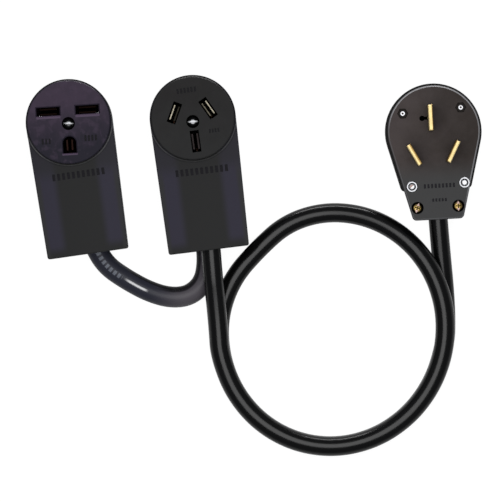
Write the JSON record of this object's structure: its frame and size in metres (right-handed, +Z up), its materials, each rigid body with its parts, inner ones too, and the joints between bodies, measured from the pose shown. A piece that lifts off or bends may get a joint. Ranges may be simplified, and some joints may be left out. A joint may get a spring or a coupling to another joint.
{
  "type": "power adapter dogbone",
  "caption": "Adapter cord that lies flat: a round-faced welder receptacle and a range receptacle on a short link, and a coiled heavy cord to an angle plug with slanted blades.",
  "frame": {"origin": "on the floor, at the middle of the box of the three heads without the cords", "axes": "+X from the welder receptacle to the plug, +Y towards the round ends of the heads, +Z up out of the contact faces"},
  "size_m": [0.2893, 0.242, 0.057],
  "materials": {
    "main_jacket": "satin black jacket",
    "branch_jacket": "dark grey jacket",
    "grommet": "matt",
    "core_insulation": "smooth insulation",
    "copper": "bare drawn copper",
    "contact_brass": "rolled",
    "blade_brass": "bright rolled",
    "yellow_brass": "yellow plated",
    "steel": "bright zinc",
    "welder_face": "satin moulding",
    "range_face": "satin moulding",
    "plug_plate": "satin moulding",
    "plug_shell": "satin moulding",
    "housing": "satin moulding"
  },
  "bodies": {
    "root": {"branch_cord": "branch_jacket", "main_cord": "main_jacket", "plug_back_shell": "plug_shell", "plug_body_screws": "steel", "plug_clamp_bar": "plug_shell", "plug_eyelets": "steel", "plug_front_plate": "plug_plate", "plug_hex_nuts": "steel", "plug_left_blade": "blade_brass", "plug_neutral_blade": "blade_brass", "plug_right_blade": "blade_brass", "plug_terminal_screws": "steel", "plug_wire_cores": "core_insulation", "plug_wire_ends": "copper", "range_base": "housing", "range_branch_wire_cores": "core_insulation", "range_branch_wire_ends": "copper", "range_clamp_screws": "steel", "range_cord_clamp": "housing", "range_cord_grommet": "grommet", "range_cover": "housing", "range_face": "range_face", "range_left_contact": "contact_brass", "range_main_wire_cores": "core_insulation", "range_main_wire_ends": "copper", "range_neutral_contact": "contact_brass", "range_right_contact": "contact_brass", "range_terminal_screws": "steel", "range_threaded_insert": "contact_brass", "welder_base": "housing", "welder_clamp_screws": "steel", "welder_cord_clamp": "housing", "welder_cord_grommet": "grommet", "welder_cover": "housing", "welder_face": "welder_face", "welder_ground_contact": "contact_brass", "welder_left_contact": "contact_brass", "welder_right_contact": "contact_brass", "welder_terminal_screws": "steel", "welder_threaded_insert": "contact_brass", "welder_wire_cores": "core_insulation", "welder_wire_ends": "copper"},
    "welder_cover_screw_body": {"welder_cover_screw": "steel"},
    "range_cover_screw_body": {"range_cover_screw": "steel"},
    "plug_left_clamp_screw_body": {"plug_left_clamp_screw": "yellow_brass"},
    "plug_right_clamp_screw_body": {"plug_right_clamp_screw": "yellow_brass"}
  },
  "joints": [
    {"name": "welder_cover_screw_turn", "type": "hinge", "parent": "root", "child": "welder_cover_screw_body", "pos_m": [-0.11777, 0.02737, 0.04], "axis": [0, 0, 1], "continuous": true},
    {"name": "range_cover_screw_turn", "type": "hinge", "parent": "root", "child": "range_cover_screw_body", "pos_m": [-0.03902, 0.02859, 0.04], "axis": [0, 0, 1], "continuous": true},
    {"name": "left_clamp_screw_turn", "type": "hinge", "parent": "root", "child": "plug_left_clamp_screw_body", "pos_m": [0.10342, -0.02603, 0.02805], "axis": [0, 0, 1], "continuous": true},
    {"name": "right_clamp_screw_turn", "type": "hinge", "parent": "root", "child": "plug_right_clamp_screw_body", "pos_m": [0.12938, -0.02463, 0.02805], "axis": [0, 0, 1], "continuous": true}
  ]
}
